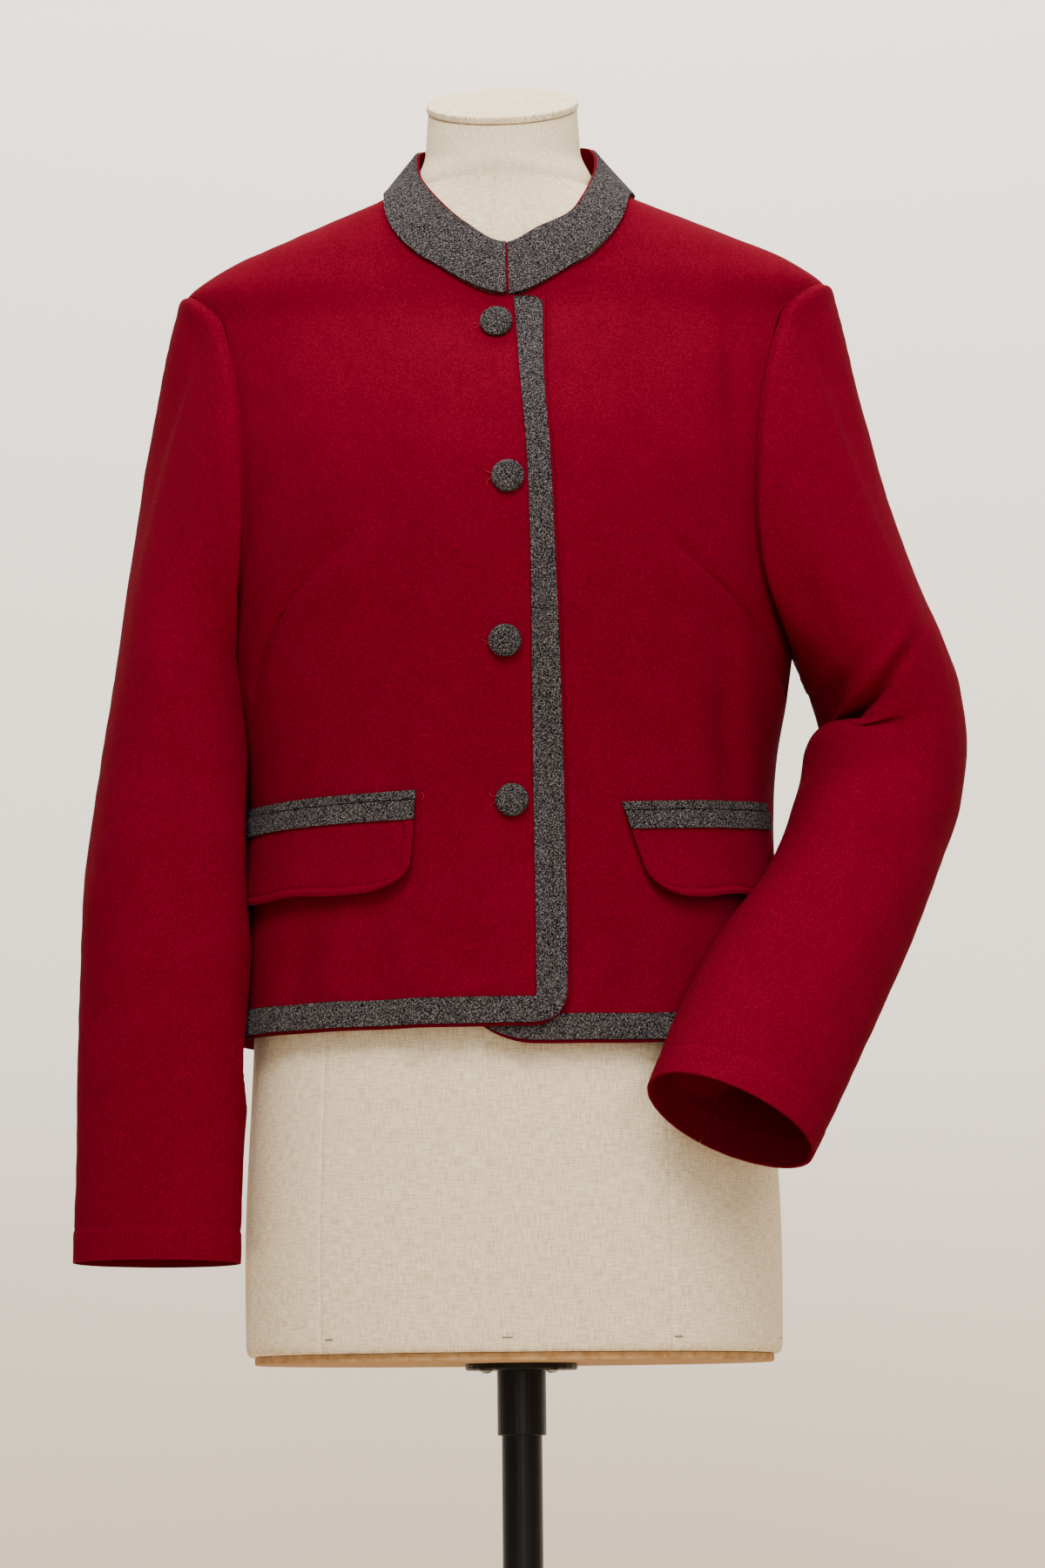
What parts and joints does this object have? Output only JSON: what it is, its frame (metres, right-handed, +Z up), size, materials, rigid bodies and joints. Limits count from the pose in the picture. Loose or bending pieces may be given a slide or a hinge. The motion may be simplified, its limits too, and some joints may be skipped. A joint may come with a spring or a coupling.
{
  "type": "jacket on a dress form with a pole stand",
  "caption": "Short red wool jacket with grey felt collar, edge trim and pocket strips, buttoned by covered buttons, worn by a limbless linen dress form on a black pole stand",
  "frame": {"origin": "on the floor, on the flat underside of the stand's base, below the middle of the dress form", "axes": "+Z up; the jacket's front faces -Y; the wearer's left arm is on +X"},
  "size_m": [0.572, 0.38, 1.519],
  "materials": {
    "red_wool": "fulled wool cloth, matt, fine nap",
    "grey_felt": "grey melange wool felt, matt",
    "linen": "natural linen, plain weave",
    "board": "raw brown board",
    "black_steel": "black enamel, half gloss"
  },
  "bodies": {
    "root": {"right_front": "red_wool", "left_front": "red_wool", "back": "red_wool", "right_upper_sleeve": "red_wool", "right_under_sleeve": "red_wool", "left_upper_sleeve": "red_wool", "left_under_sleeve": "red_wool", "right_flap": "red_wool", "left_flap": "red_wool", "collar_facing": "red_wool", "collar": "grey_felt", "right_trim": "grey_felt", "left_trim": "grey_felt", "back_trim": "grey_felt", "right_welt": "grey_felt", "left_welt": "grey_felt", "right_flap_strip": "grey_felt", "left_flap_strip": "grey_felt", "button_1": "grey_felt", "button_2": "grey_felt", "button_3": "grey_felt", "button_4": "grey_felt", "form_body": "linen", "neck_cap": "linen", "bottom_board": "board", "flange": "black_steel", "socket": "black_steel", "pole": "black_steel", "base": "black_steel"}
  },
  "joints": []
}
